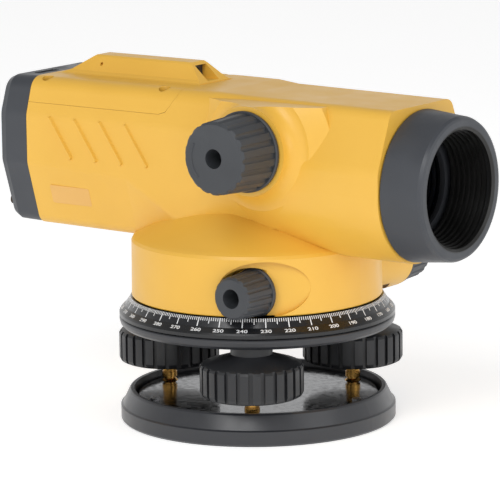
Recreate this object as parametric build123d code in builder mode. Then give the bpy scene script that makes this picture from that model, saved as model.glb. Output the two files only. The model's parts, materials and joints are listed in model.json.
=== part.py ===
from build123d import *
import os
from math import asin, cos, degrees, hypot, pi, radians, sin

# Automatic level (surveyor's levelling instrument), millimetres.
# Frame: origin at the centre of the tripod thread on the underside of the base plate,
# +Z up along the vertical axis, +X along the line of sight towards the objective.

os.makedirs("parts", exist_ok=True)

# ---- driving dimensions -------------------------------------------------------------

RUN = 0.05            # radial clearance of a running fit
GAP = 0.3             # air gap between pieces that move past each other
WALL = 3.0            # casting wall

# base plate
BASE_R = 53.5
BASE_SIDE_Z = 5.8
RIM_Z = 12.1
RIM_OUTER_R = 49.7
RIM_INNER_R = 48.2
BASE_FLOOR_Z = 4.6
THREAD_R = 6.75       # bore of the 5/8 inch tripod thread
THREAD_BOSS_R = 13.0
THREAD_BOSS_Z = 10.0

# foot screws
FOOT_CIRCLE_R = 41.84
FOOT_ANGLES = (-57.2, 62.8, 182.8)
BALL_Z = 7.0
BALL_R = 4.0
BALL_CLEAR = 0.08
PLATE_Z = 8.6
PLATE_THICK = 0.8
COLLAR_Z = 11.0
COLLAR_TOP_Z = 13.0
COLLAR_R = 2.95
SHAFT_R = 2.6
THREAD_SHAFT_R = 3.0
KNOB_BOTTOM_Z = 17.4
KNOB_TOP_Z = 30.2
KNOB_R = 19.7
KNOB_RIBS = 26
NECK_R = 8.0
NECK_TOP_Z = 37.4
FOOT_LIFT = 2.6       # travel of a foot screw either way

# levelling head, spindle and circle
HEAD_R = 53.5
HEAD_BOTTOM_Z = 36.9
HEAD_TOP_Z = 41.0
SPIGOT_R = 46.3
SPIGOT_Z = 47.0
HUB_R = 16.0
HUB_TOP_Z = 49.2
SPINDLE_R = 8.0
CIRCLE_Z = 41.3
CIRCLE_R = 53.5
SCALE_TOP_R = 49.0
SCALE_TOP_Z = 48.6
SCALE_FOOT_R = 51.15
SCALE_FOOT_Z = 45.25

# drum and housing
DRUM_R = 48.6
DRUM_INNER_R = 43.0
DRUM_BOTTOM_Z = 49.0
DRUM_TOP_Z = 72.2
SHOULDER_Z = 86.0
SHOULDER_R = 24.7
AXIS_Z = 97.7         # telescope axis
BODY_REAR_X = -90.0
BODY_FRONT_X = 76.5
SEAM_Z = 120.0

# objective and eyepiece
HOOD_R = 28.8
HOOD_FRONT_X = 94.0
HOOD_FRONT_R = 27.3
HOOD_BORE_R = 22.3
LENS_R = 18.0
EYE_TUBE_R = 10.6
EYE_CELL_R = 9.0
EYE_BORE_R = 7.4
EYE_END_X = -116.5

# worm drive of the fine motion
MODULE = 0.6
WHEEL_TEETH = 69
WHEEL_R = MODULE * WHEEL_TEETH / 2
WORM_R = 4.0
WORM_X = WHEEL_R + WORM_R
WORM_Z = 57.4
FINE_RIGHT_Y = -34.5
FINE_RIGHT_LENGTH = 16.1
FINE_LEFT_Y = 54.3
FINE_LEFT_LENGTH = 14.1
FINE_BOSS_R = 12.3
FINE_BOSS_Y = FINE_LEFT_Y - GAP

# focusing drive
FOCUS_X = 21.9
FOCUS_Z = 110.8
PINION_MODULE = 0.5
PINION_TEETH = 16
PINION_R = PINION_MODULE * PINION_TEETH / 2
FOCUS_BACK_Y = -36.0
FOCUS_FACE_Y = -56.5
FOCUS_TUBE_R = 8.0
FOCUS_BOSS_R = 17.0
FOCUS_BLEND = 6.5      # radius of the hollow curve between boss and flank

# circular level
LEVEL_X = -36.7
LEVEL_Y = 52.4
LEVEL_R = 10.0
LEVEL_Z = 64.0

SIGHT_LINE = Axis((0, 0, AXIS_Z), (1, 0, 0))
FROM_BASE = (Align.CENTER, Align.CENTER, Align.MIN)


# ---- helpers ------------------------------------------------------------------------

def save(piece, name):
    """Label a finished piece and write its STEP file."""
    piece.part.label = name
    export_step(piece.part, f"parts/{name}.step")


def on_circle(radius, angle):
    """Point of a horizontal circle about the vertical axis."""
    return radius * cos(radians(angle)), radius * sin(radians(angle))


def turned(points, axis=Axis.Z):
    """Solid of revolution of a closed outline of (x, z) points."""
    with BuildPart() as piece:
        with BuildSketch(Plane.XZ):
            with BuildLine():
                Polyline(*points, close=True)
            make_face()
        revolve(axis=axis)
    return piece


def along_sight(sections):
    """Solid of revolution about the line of sight; sections are (x, radius) points."""
    return turned([(x, AXIS_Z + radius) for x, radius in sections], SIGHT_LINE)


def tube(x_from, x_to, outer, inner):
    """Tube about the line of sight."""
    return along_sight([(x_from, inner), (x_to, inner), (x_to, outer), (x_from, outer)])


def post(x, y, z_from, z_to, radius, mode=Mode.ADD):
    """Upright cylinder added to, or cut from, the part being built."""
    with Locations((x, y, z_from)):
        Cylinder(radius, z_to - z_from, align=FROM_BASE, mode=mode)


def spindle(x, z, y_from, y_to, radius, mode=Mode.ADD):
    """Cylinder parallel to Y added to, or cut from, the part being built."""
    with Locations((x, (y_from + y_to) / 2, z)):
        Cylinder(radius, abs(y_to - y_from), rotation=(90, 0, 0), mode=mode)


def block(x_range, y_range, z_range, mode=Mode.ADD):
    """Box between two corners added to, or cut from, the part being built."""
    ranges = (x_range, y_range, z_range)
    with Locations(tuple((low + high) / 2 for low, high in ranges)):
        Box(*[high - low for low, high in ranges], mode=mode)


def facing_x(x):
    """Plane across the line of sight, with its x axis along Y."""
    return Plane(origin=(x, 0, AXIS_Z), x_dir=(0, 1, 0), z_dir=(1, 0, 0))


def facing_right(x, y, z):
    """Plane that looks out of the right side, with its x axis along X."""
    return Plane(origin=(x, y, z), x_dir=(1, 0, 0), z_dir=(0, -1, 0))


def gear_outline(teeth, tip, root, thickness, start):
    """Closed outline of a gear with straight-sided teeth, a space centred on the start angle."""
    points = []
    for tooth in range(teeth):
        middle = start + 2 * pi * (tooth + 0.5) / teeth
        for radius, width in ((root, 1.5), (tip, 0.5)):
            half = thickness * width / 2 / radius
            points.append((radius, middle - half))
        for radius, width in ((tip, 0.5), (root, 1.5)):
            half = thickness * width / 2 / radius
            points.append((radius, middle + half))
    return [(radius * cos(angle), radius * sin(angle)) for radius, angle in points]


# ---- base plate ---------------------------------------------------------------------

PAD_R = 6.3
PAD_Z = PLATE_Z - 0.1
PLATE_R = 46.5
PLATE_HOLE_R = 14.5
PLATE_TOP_Z = PLATE_Z + PLATE_THICK
SCREW_CIRCLE_R = 42.0
SCREW_ANGLES = (-126.0, 10.5, 122.8)
SCREW_HEAD_R = 1.9
SCREW_SHANK_R = 1.0
FEET = [on_circle(FOOT_CIRCLE_R, angle) for angle in FOOT_ANGLES]
PLATE_SCREWS = [on_circle(SCREW_CIRCLE_R, angle) for angle in SCREW_ANGLES]

base_plate = turned([
    (THREAD_R, 0), (BASE_R - 0.8, 0), (BASE_R, 0.8), (BASE_R, BASE_SIDE_Z),
    (BASE_R - 0.8, BASE_SIDE_Z + 0.5), (RIM_OUTER_R + 0.5, RIM_Z - 0.6), (RIM_OUTER_R - 0.1, RIM_Z),
    (RIM_INNER_R, RIM_Z), (RIM_INNER_R - 0.5, BASE_FLOOR_Z), (THREAD_BOSS_R, BASE_FLOOR_Z),
    (THREAD_BOSS_R, THREAD_BOSS_Z), (THREAD_R, THREAD_BOSS_Z),
])
with base_plate:
    for x, y in FEET:
        post(x, y, BASE_FLOOR_Z - 0.2, PAD_Z, PAD_R)
        with Locations((x, y, BALL_Z)):
            Sphere(BALL_R + BALL_CLEAR, mode=Mode.SUBTRACT)
    for x, y in PLATE_SCREWS:
        post(x, y, BASE_FLOOR_Z - 0.2, PAD_Z, 3.2)
        post(x, y, BASE_FLOOR_Z, PAD_Z, SCREW_SHANK_R, Mode.SUBTRACT)
save(base_plate, "base_plate")

with BuildPart() as spring_plate:
    post(0, 0, PLATE_Z, PLATE_TOP_Z, PLATE_R)
    post(0, 0, PLATE_Z, PLATE_TOP_Z, PLATE_HOLE_R, Mode.SUBTRACT)
    for x, y in PLATE_SCREWS:
        post(x, y, PLATE_Z, PLATE_TOP_Z, SCREW_SHANK_R, Mode.SUBTRACT)
    for x, y in FEET:
        with Locations((x, y, BALL_Z)):
            Sphere(BALL_R + BALL_CLEAR, mode=Mode.SUBTRACT)
save(spring_plate, "spring_plate")

with BuildPart() as spring_plate_screws:
    for x, y in PLATE_SCREWS:
        post(x, y, PLATE_TOP_Z, PLATE_TOP_Z + 1.0, SCREW_HEAD_R)
        post(x, y, BASE_FLOOR_Z + 0.5, PLATE_TOP_Z, SCREW_SHANK_R)
        slot_z = (PLATE_TOP_Z + 0.5, PLATE_TOP_Z + 1.1)
        block((x - 1.3, x + 1.3), (y - 0.25, y + 0.25), slot_z, Mode.SUBTRACT)
save(spring_plate_screws, "spring_plate_screws")

# ---- foot screws --------------------------------------------------------------------

PIN_R = 1.2
PIN_TOP_Z = 19.0
SHAFT_TOP_Z = 44.9
GROOVE_WIDTH = 1.6
GROOVE_DEPTH = 1.1
KNOB_PROFILE = [
    (0, KNOB_BOTTOM_Z), (KNOB_R - 2.2, KNOB_BOTTOM_Z), (KNOB_R - 0.7, KNOB_BOTTOM_Z + 0.7),
    (KNOB_R, KNOB_BOTTOM_Z + 2.0), (KNOB_R, KNOB_TOP_Z - 1.2), (KNOB_R - 0.6, KNOB_TOP_Z - 0.3),
    (KNOB_R - 2.0, KNOB_TOP_Z + 0.3), (NECK_R + 1.4, KNOB_TOP_Z + 2.9), (NECK_R, KNOB_TOP_Z + 3.6),
    (NECK_R, NECK_TOP_Z), (0, NECK_TOP_Z),
]


def foot_ball(feet):
    """Brass balls that stand in the base plate, with the pins their screws turn on."""
    with BuildPart() as piece:
        for x, y in feet:
            with Locations((x, y, BALL_Z)):
                Sphere(BALL_R)
            post(x, y, BALL_Z, COLLAR_Z, SHAFT_R - 0.25)
            post(x, y, COLLAR_Z, COLLAR_TOP_Z, COLLAR_R)
            post(x, y, COLLAR_TOP_Z, PIN_TOP_Z, PIN_R)
    return piece


save(foot_ball(FEET[:1]), "foot_ball_front")
save(foot_ball(FEET[1:]), "foot_balls_rear")

for number, (x, y) in enumerate(FEET, start=1):
    with BuildPart() as foot_shaft:
        post(x, y, COLLAR_TOP_Z + RUN, NECK_TOP_Z, SHAFT_R)
        post(x, y, NECK_TOP_Z, SHAFT_TOP_Z, THREAD_SHAFT_R)
        post(x, y, COLLAR_TOP_Z, PIN_TOP_Z + 0.2, PIN_R + RUN, Mode.SUBTRACT)
    save(foot_shaft, f"foot_screw_shaft_{number}")

    with BuildPart() as foot_knob:
        with BuildSketch(Plane(origin=(x, y, KNOB_BOTTOM_Z))):
            Circle(KNOB_R)
            with PolarLocations(KNOB_R, KNOB_RIBS):
                Rectangle(2 * GROOVE_DEPTH, GROOVE_WIDTH, mode=Mode.SUBTRACT)
        extrude(amount=NECK_TOP_Z - KNOB_BOTTOM_Z)
        with BuildSketch(Plane(origin=(x, y, 0), x_dir=(1, 0, 0), z_dir=(0, -1, 0))):
            with BuildLine():
                Polyline(*KNOB_PROFILE, close=True)
            make_face()
        revolve(axis=Axis((x, y, 0), (0, 0, 1)), mode=Mode.INTERSECT)
        post(x, y, KNOB_BOTTOM_Z, NECK_TOP_Z, SHAFT_R, Mode.SUBTRACT)
    save(foot_knob, f"foot_screw_knob_{number}")

# ---- levelling head -----------------------------------------------------------------

HUB_BOTTOM_Z = 30.5
BUSH_R = 4.2
NECK_BORE_Z = NECK_TOP_Z + FOOT_LIFT + 0.2
FLANGE_Z = WORM_Z + 5.0
LEDGE_Z = FLANGE_Z + 2.5
NUT_Z = LEDGE_Z + 0.15

levelling_head = turned([
    (SPINDLE_R, HUB_BOTTOM_Z), (HUB_R - 2, HUB_BOTTOM_Z), (HUB_R, HUB_BOTTOM_Z + 2), (HUB_R, HEAD_BOTTOM_Z),
    (HEAD_R - 2.9, HEAD_BOTTOM_Z), (HEAD_R - 1.4, HEAD_BOTTOM_Z + 0.5), (HEAD_R - 0.4, HEAD_BOTTOM_Z + 1.5),
    (HEAD_R, HEAD_BOTTOM_Z + 2.9), (HEAD_R, HEAD_TOP_Z - 0.4), (HEAD_R - 0.4, HEAD_TOP_Z),
    (SPIGOT_R, HEAD_TOP_Z), (SPIGOT_R, SPIGOT_Z), (36.5, SPIGOT_Z), (36.5, 42.0), (HUB_R + 2, 42.0),
    (HUB_R, 44.0), (HUB_R, HUB_TOP_Z), (SPINDLE_R, HUB_TOP_Z),
])
with levelling_head:
    for x, y in FEET:
        post(x, y, HEAD_BOTTOM_Z, NECK_BORE_Z, NECK_R + GAP, Mode.SUBTRACT)
        post(x, y, NECK_BORE_Z - 1, SPIGOT_Z, BUSH_R, Mode.SUBTRACT)
save(levelling_head, "levelling_head")

with BuildPart() as foot_screw_bushes:
    for x, y in FEET:
        post(x, y, NECK_BORE_Z, SPIGOT_Z, BUSH_R)
        post(x, y, NECK_BORE_Z, SPIGOT_Z, THREAD_SHAFT_R + RUN, Mode.SUBTRACT)
save(foot_screw_bushes, "foot_screw_bushes")

with BuildPart() as vertical_spindle:
    post(0, 0, HUB_BOTTOM_Z, NUT_Z + 3.0, SPINDLE_R)
    post(0, 0, HUB_BOTTOM_Z, HUB_BOTTOM_Z + 8, 3.0, Mode.SUBTRACT)
    post(0, 0, NUT_Z - 0.05, NUT_Z + 3.0, SPINDLE_R + 1, Mode.SUBTRACT)
    post(0, 0, NUT_Z - 0.05, NUT_Z + 3.4, SPINDLE_R - 2)
save(vertical_spindle, "vertical_spindle")

with BuildPart() as spindle_nut:
    with BuildSketch(Plane.XY.offset(NUT_Z)):
        RegularPolygon(radius=11.0, side_count=6)
        Circle(SPINDLE_R - 2, mode=Mode.SUBTRACT)
    extrude(amount=2.6)
save(spindle_nut, "spindle_nut")

# ---- horizontal circle --------------------------------------------------------------

CIRCLE_BORE_R = SPIGOT_R + GAP
SEAT_R = SCALE_FOOT_R - 0.45

circle_ring = turned([
    (CIRCLE_BORE_R, CIRCLE_Z), (CIRCLE_R - 0.25, CIRCLE_Z), (CIRCLE_R, CIRCLE_Z + 0.25),
    (CIRCLE_R, CIRCLE_Z + 1.5), (CIRCLE_R - 0.5, CIRCLE_Z + 2.2), (SCALE_FOOT_R, SCALE_FOOT_Z),
    (SEAT_R, SCALE_FOOT_Z), (48.6, 48.2), (CIRCLE_BORE_R, 48.2),
])
save(circle_ring, "circle_ring")

circle_scale = turned([
    (SEAT_R + 0.02, SCALE_FOOT_Z + 0.02), (SCALE_FOOT_R, SCALE_FOOT_Z + 0.02), (SCALE_TOP_R, SCALE_TOP_Z),
    (48.36, SCALE_TOP_Z),
])
save(circle_scale, "circle_scale")

# ---- slewing clutch and worm wheel --------------------------------------------------

BUSH_OUTER_R = 12.0
CLUTCH_INNER_R = BUSH_OUTER_R + GAP
WHEEL_BOTTOM_Z = 50.1
WHEEL_FACE_Z = WORM_Z - 2.0
WHEEL_TOP_Z = WORM_Z + 2.0

with BuildPart() as clutch_washer:
    post(0, 0, HUB_TOP_Z, WHEEL_BOTTOM_Z, HUB_R - 0.5)
    post(0, 0, HUB_TOP_Z, WHEEL_BOTTOM_Z, CLUTCH_INNER_R, Mode.SUBTRACT)
save(clutch_washer, "clutch_washer")

with BuildPart() as worm_wheel:
    with BuildSketch(Plane.XY.offset(WHEEL_FACE_Z)):
        with BuildLine():
            Polyline(*gear_outline(WHEEL_TEETH, WHEEL_R + 0.5, WHEEL_R - 0.75, 0.6, 0), close=True)
        make_face()
    extrude(amount=WHEEL_TOP_Z - WHEEL_FACE_Z)
    post(0, 0, WHEEL_BOTTOM_Z, WHEEL_TOP_Z, HUB_R - 0.5)
    post(0, 0, WHEEL_BOTTOM_Z, WHEEL_TOP_Z, CLUTCH_INNER_R, Mode.SUBTRACT)
save(worm_wheel, "worm_wheel")

# ---- fine-motion worm shaft and knobs -----------------------------------------------

WORM_SHAFT_R = 2.5
WORM_ROOT_R = 3.2
WORM_TIP_R = 4.5
WORM_PITCH = pi * MODULE
WORM_TURNS = 8
KNOB_HOLE_R = 3.7
KNOB_HOLE_DEPTH = 9.0


def knob(x, z, back_y, length, back_r, face_r, rim_r, flutes, flute_r, side=-1):
    """Tapering fluted knob on a shaft parallel to Y; side is -1 on the right, 1 on the left."""
    rim = 1.8
    taper = (back_r - face_r) / length
    plane = Plane(origin=(x, back_y, z), x_dir=(0, side, 0), z_dir=(1, 0, 0))
    with BuildPart() as piece:
        with BuildSketch(plane):
            with BuildLine():
                Polyline(
                    (0, 0), (0, rim_r - 0.4), (0.4, rim_r), (rim - 0.4, rim_r), (rim, rim_r - 0.4),
                    (rim, back_r), (length - 1.0, face_r + taper), (length, face_r - 0.9), (length, 0),
                    close=True,
                )
            make_face()
        revolve(axis=Axis((x, back_y, z), (0, 1, 0)))
        middle_r = (back_r + face_r) / 2 + flute_r * 0.55
        flute_y = back_y + side * (length + rim) / 2
        flute_plane = Plane(origin=(x, flute_y, z), x_dir=(1, 0, 0), z_dir=(0, side, 0))
        with Locations(flute_plane):
            with PolarLocations(middle_r, flutes):
                Cylinder(flute_r, length - rim, rotation=(0, -degrees(taper), 0), mode=Mode.SUBTRACT)
        hole_y = back_y + side * (length - KNOB_HOLE_DEPTH)
        spindle(x, z, hole_y, back_y + side * (length + 1), KNOB_HOLE_R, Mode.SUBTRACT)
        spindle(x, z, back_y, hole_y, WORM_SHAFT_R, Mode.SUBTRACT)
    return piece


with BuildPart() as worm_shaft:
    right_end = FINE_RIGHT_Y - FINE_RIGHT_LENGTH + KNOB_HOLE_DEPTH
    left_end = FINE_LEFT_Y + FINE_LEFT_LENGTH - KNOB_HOLE_DEPTH
    # the helix starts above the shaft; three quarters of a turn later it faces the wheel
    thread_start_y = -4.75 * WORM_PITCH
    thread_length = 8.5 * WORM_PITCH
    spindle(WORM_X, WORM_Z, right_end, left_end, WORM_SHAFT_R)
    spindle(WORM_X, WORM_Z, thread_start_y - 1.5, thread_start_y + thread_length + 1.5, WORM_ROOT_R)
    with BuildLine() as thread_path:
        Helix(WORM_PITCH, thread_length, WORM_ROOT_R, (WORM_X, thread_start_y, WORM_Z), (0, 1, 0))
    top_of_shaft = (WORM_X, thread_start_y, WORM_Z + WORM_ROOT_R)
    depth = WORM_TIP_R - WORM_ROOT_R
    with BuildSketch(Plane(origin=top_of_shaft, x_dir=(0, 0, 1), z_dir=(1, 0, 0))):
        Polygon((-0.2, -0.5), (depth, -0.18), (depth, 0.18), (-0.2, 0.5), align=None)
    sweep(path=thread_path.line, is_frenet=True)
save(worm_shaft, "worm_shaft")

fine_knob_right = knob(WORM_X, WORM_Z, FINE_RIGHT_Y, FINE_RIGHT_LENGTH, 8.9, 8.1, 9.4, 16, 1.0)
save(fine_knob_right, "fine_motion_knob_right")
fine_knob_left = knob(WORM_X, WORM_Z, FINE_LEFT_Y, FINE_LEFT_LENGTH, 11.6, 11.0, 12.1, 20, 1.1, side=1)
save(fine_knob_left, "fine_motion_knob_left")

# ---- housing ------------------------------------------------------------------------

SCREW_R = 2.0
SHAFT_BUSH_R = 4.5
FINE_BORE_R = 9.9
LENS_BORE_R = 26.0
POCKET_ANGLE = -50.5
POCKET_FLOOR_R = 45.2
POCKET_Z = 59.3
LOWER_COVER_Z = 49.3
LOWER_COVER_TOP_Z = 51.3
NAME_PLATE_SEAT = Plane(origin=(-70.8, -25.5, 84.2), x_dir=(1, 0, 0), z_dir=(0, -24.5, -7.4))
RIB_WIDTH = 2.4
RIB_DRAFT = 25        # slope of the rib sides, degrees
COVER_SCREWS = [(x, y) for x in (-84.5, -27.0) for y in (-21.5, 21.5)]

# body sections: x, side, lower and upper ends of the flat side, half width and height of the
# roof, half width and height of the floor, then the radii of the lower and upper corners
SECTIONS = [
    (BODY_REAR_X, 29.0, 96.0, 115.0, 24.4, 129.8, 21.5, 70.8, 5.0, 6.5),
    (-41.0, 29.2, 94.0, 115.0, 24.4, 129.8, 22.0, 70.5, 5.0, 6.5),
    (-16.0, 29.3, 79.5, 115.0, 24.4, 129.7, 23.5, 69.6, 5.0, 6.5),
    (-3.0, 29.3, 84.0, 114.0, 24.0, 129.6, 20.0, 69.0, 12.0, 6.5),
    (8.0, 29.3, 85.6, 108.0, 20.8, 128.9, 12.3, 68.4, 26.0, 5.0),
    (BODY_FRONT_X, 29.3, 85.6, 106.0, 20.4, 128.1, 12.3, 68.4, 26.0, 5.0),
]


def body(sections, inset=0.0):
    """Lofted body of the housing, optionally shrunk to make its cavity."""
    with BuildPart() as piece:
        for x, side, low_z, high_z, roof, roof_z, floor, floor_z, low_r, high_r in sections:
            half = [
                (floor - inset * 0.7, floor_z + inset), (side - inset, low_z), (side - inset, high_z),
                (roof - inset * 0.8, roof_z - inset),
            ]
            outline = [(y, z - AXIS_Z) for y, z in half] + [(-y, z - AXIS_Z) for y, z in reversed(half)]
            radii = [low_r - inset * 0.8, max(low_r, 6.0) - inset, 10.0 - inset, high_r - inset]
            with BuildSketch(facing_x(x)):
                with BuildLine():
                    FilletPolyline(*outline, radius=radii + radii[::-1], close=True)
                make_face()
        loft(ruled=True)
    return piece


def cover_outline(gap):
    """Side outline, in (x, z), of the region that belongs to the top cover."""
    return [
        (BODY_REAR_X - 5, SEAM_Z + gap), (-25.6 - gap, SEAM_Z + gap), (-22.6 - gap, SEAM_Z + 1.0 + gap),
        (-21.0 - gap, SEAM_Z + 3.4), (-18.4 - gap, SEAM_Z + 7.4), (-17.5 - gap, SEAM_Z + 20),
        (BODY_REAR_X - 5, SEAM_Z + 20),
    ]


outer_body = body(SECTIONS)
cavity = body([
    (BODY_REAR_X - 1, *SECTIONS[0][1:]), *SECTIONS[1:-1], (BODY_FRONT_X - 8, *SECTIONS[-1][1:]),
], inset=WALL)

BOSS_TOP_Z = 127.7
BOSS_INNER_Y = -18.0

# boss behind the focusing knob, running into the flank in a hollow curve
with BuildPart() as focus_boss:
    with BuildSketch(Plane(origin=(FOCUS_X, 0, FOCUS_Z))):
        with BuildLine():
            foot_r = FOCUS_BOSS_R + FOCUS_BLEND
            blend_y = FOCUS_BACK_Y + 0.8
            foot_y = blend_y + FOCUS_BLEND
            hollow = FOCUS_BLEND * sin(radians(45))
            Polyline(
                (FOCUS_BOSS_R, blend_y), (FOCUS_BOSS_R, FOCUS_BACK_Y + GAP), (0, FOCUS_BACK_Y + GAP),
                (0, BOSS_INNER_Y), (foot_r + 7.5, BOSS_INNER_Y), (foot_r + 7.5, foot_y + 4.7), (foot_r, foot_y),
            )
            ThreePointArc((foot_r, foot_y), (foot_r - hollow, blend_y + hollow), (FOCUS_BOSS_R, blend_y))
        make_face()
    revolve(axis=Axis((FOCUS_X, 0, FOCUS_Z), (0, 1, 0)))
    block((FOCUS_X - 40, FOCUS_X + 40), (-60, 0), (BOSS_TOP_Z, BOSS_TOP_Z + 40), Mode.SUBTRACT)

with BuildPart() as main_housing:
    add(outer_body.part)
    add(focus_boss.part)
    with BuildSketch(Plane.XZ):
        with BuildLine():
            Polyline(
                (0, DRUM_BOTTOM_Z), (DRUM_R - 0.3, DRUM_BOTTOM_Z), (DRUM_R, DRUM_BOTTOM_Z + 0.4),
                (DRUM_R - 0.2, DRUM_TOP_Z - 1.6), (DRUM_R - 0.9, DRUM_TOP_Z - 0.4),
                (DRUM_R - 2.2, DRUM_TOP_Z + 0.6), (SHOULDER_R, SHOULDER_Z), (0, SHOULDER_Z), close=True,
            )
        make_face()
    revolve(axis=Axis.Z)
    spindle(WORM_X, WORM_Z, 0, FINE_BOSS_Y, FINE_BOSS_R)
    # bracket of the circular level
    post(LEVEL_X, LEVEL_Y, LEVEL_Z - 3, LEVEL_Z, LEVEL_R + 0.5)
    with BuildSketch(Plane(origin=(0, 0, LEVEL_Z - 8), x_dir=(LEVEL_X, LEVEL_Y, 0), z_dir=(0, 0, 1))):
        with Locations((hypot(LEVEL_X, LEVEL_Y) - 9, 0)):
            Rectangle(18, 8)
    extrude(amount=8)
    # hollow inside
    add(cavity.part, mode=Mode.SUBTRACT)
    with BuildSketch(Plane.XZ):
        with BuildLine():
            Polyline(
                (0, DRUM_BOTTOM_Z), (DRUM_INNER_R, DRUM_BOTTOM_Z), (DRUM_INNER_R, LEDGE_Z), (26, LEDGE_Z),
                (26, LEDGE_Z + 2.5), (DRUM_INNER_R, LEDGE_Z + 2.5), (DRUM_INNER_R, DRUM_TOP_Z - 1),
                (22.5, SHOULDER_Z - WALL), (0, SHOULDER_Z - WALL), close=True,
            )
        make_face()
    revolve(axis=Axis.Z, mode=Mode.SUBTRACT)
    # worm bearings, focusing bearing
    spindle(WORM_X, WORM_Z, FINE_RIGHT_Y + GAP, -27, FINE_BOSS_R)
    spindle(WORM_X, WORM_Z, 30, FINE_BOSS_Y, FINE_BOSS_R)
    spindle(FOCUS_X, FOCUS_Z, FOCUS_BACK_Y + 5, -23, 7)
    # pocket round the right-hand fine-motion knob
    pocket_x, pocket_y = on_circle(POCKET_FLOOR_R, POCKET_ANGLE)
    pocket_normal = (*on_circle(1, POCKET_ANGLE), 0)
    with BuildSketch(Plane(origin=(pocket_x, pocket_y, POCKET_Z), x_dir=(0, 0, 1), z_dir=pocket_normal)):
        Ellipse(10.6, 17.4)
    extrude(amount=12, mode=Mode.SUBTRACT)
    spindle(WORM_X, WORM_Z, FINE_RIGHT_Y + GAP, -60, FINE_BORE_R, Mode.SUBTRACT)
    spindle(WORM_X, WORM_Z, -60, 60, SHAFT_BUSH_R, Mode.SUBTRACT)
    spindle(FOCUS_X, FOCUS_Z, -60, -20, SHAFT_BUSH_R, Mode.SUBTRACT)
    # clearance over the circle and for the lower cover
    post(0, 0, HEAD_BOTTOM_Z, DRUM_BOTTOM_Z - 0.05, CIRCLE_R + 0.4, Mode.SUBTRACT)
    post(0, 0, HEAD_BOTTOM_Z, LOWER_COVER_TOP_Z, DRUM_INNER_R, Mode.SUBTRACT)
    # seat of the objective barrel
    with BuildSketch(facing_x(BODY_FRONT_X - 9)):
        Circle(LENS_BORE_R)
    extrude(amount=9, mode=Mode.SUBTRACT)
    # room for the top cover
    with BuildSketch(Plane.XZ):
        with BuildLine():
            Polyline(*cover_outline(0), close=True)
        make_face()
    extrude(amount=40, both=True, mode=Mode.SUBTRACT)
    # seat of the name plate
    with BuildSketch(NAME_PLATE_SEAT):
        RectangleRounded(19.4, 7.6, 0.8)
    extrude(amount=3, mode=Mode.SUBTRACT)
    # raised ribs on both flanks
    for side in (-1, 1):
        for rib in range(4):
            middle_x = -73.0 + rib * 12.45
            plane = Plane(origin=(middle_x, side * 28.6, 107.1), x_dir=(1, 0, 0), z_dir=(0, side, 0))
            with BuildSketch(plane):
                SlotCenterToCenter(17.6, RIB_WIDTH, rotation=side * 55.5)
            extrude(amount=1.5, taper=RIB_DRAFT)
save(main_housing, "main_housing")

RIDGE_FRONT_X = -18.7
RIDGE_REAR_X = -89.5
RIDGE_HALF = [(15, 128.5), (12.5, 129.2), (9.6, 130.1), (8.2, 131.2), (4.9, 136.5), (4.0, 137.2)]
RIDGE_REAR_SLOPE = [(-95, 129.9), (-87.5, 129.9), (-83, 131.5), (-69, 140), (-60, 145), (-60, 150), (-95, 150)]
RIDGE_FRONT_SLOPE = [(-12, 130.0), (-19.2, 130.0), (-27.2, 137.2), (-41.4, 150), (-12, 150)]
SIGHT_HALF = 3.6
SIGHT_Z = (130.4, 136.0)
PEEP_Z = 133.3
PEEP_R = 1.4

with BuildPart() as top_cover:
    add(outer_body.part)
    with BuildSketch(Plane.XZ):
        with BuildLine():
            Polyline(*cover_outline(0.1), close=True)
        make_face()
    extrude(amount=40, both=True, mode=Mode.INTERSECT)
    add(cavity.part, mode=Mode.SUBTRACT)
    # raised sight ridge
    with BuildSketch(facing_x(RIDGE_FRONT_X)):
        with BuildLine():
            left = [(y, z - AXIS_Z) for y, z in RIDGE_HALF]
            right = [(-y, z) for y, z in reversed(left)]
            Polyline(*left, *right, close=True)
        make_face()
    extrude(amount=RIDGE_REAR_X - RIDGE_FRONT_X)
    with BuildSketch(Plane.XZ):
        for slope in (RIDGE_REAR_SLOPE, RIDGE_FRONT_SLOPE):
            with BuildLine():
                Polyline(*slope, close=True)
            make_face()
    extrude(amount=40, both=True, mode=Mode.SUBTRACT)
    # open sight tunnel and peep hole
    block((-62, -5), (-SIGHT_HALF, SIGHT_HALF), SIGHT_Z, Mode.SUBTRACT)
    with BuildSketch(facing_x(-95)):
        with Locations((0, PEEP_Z - AXIS_Z)):
            Circle(PEEP_R)
    extrude(amount=40, mode=Mode.SUBTRACT)
    spindle(-69.6, 133.9, -12, -4.5, 0.7, Mode.SUBTRACT)
    for x, y in COVER_SCREWS:
        post(x, y, 125.4, 140, SCREW_R + 0.3, Mode.SUBTRACT)
        post(x, y, 118, 140, 1.1, Mode.SUBTRACT)
save(top_cover, "top_cover")

# ---- rear cover, lower cover, axis bush ---------------------------------------------

COVER_DEPTH = 15.5
REAR_END_X = BODY_REAR_X - COVER_DEPTH


def shrink(section, x, by):
    """A body section moved to another x and made smaller all round."""
    side, low_z, high_z, roof, roof_z, floor, floor_z, low_r, high_r = section[1:]
    return (x, side - by, low_z, high_z, roof - by, roof_z - by, floor - by, floor_z + by, low_r, high_r)


COVER_STEPS = [(GAP, 0.2), (11.0, 0.4), (14.0, 1.5), (COVER_DEPTH, 3.3)]      # depth, shrinkage
INSIDE_STEPS = [(0, 0.2), (11.0, 0.4), (COVER_DEPTH - WALL, 1.0)]
rear_outside = body([shrink(SECTIONS[0], BODY_REAR_X - depth, by) for depth, by in COVER_STEPS])
rear_inside = body([shrink(SECTIONS[0], BODY_REAR_X - depth, by) for depth, by in INSIDE_STEPS], inset=WALL)

REAR_SCREWS = [(y, z) for y in (-20, 20) for z in (79, 121)]

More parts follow.
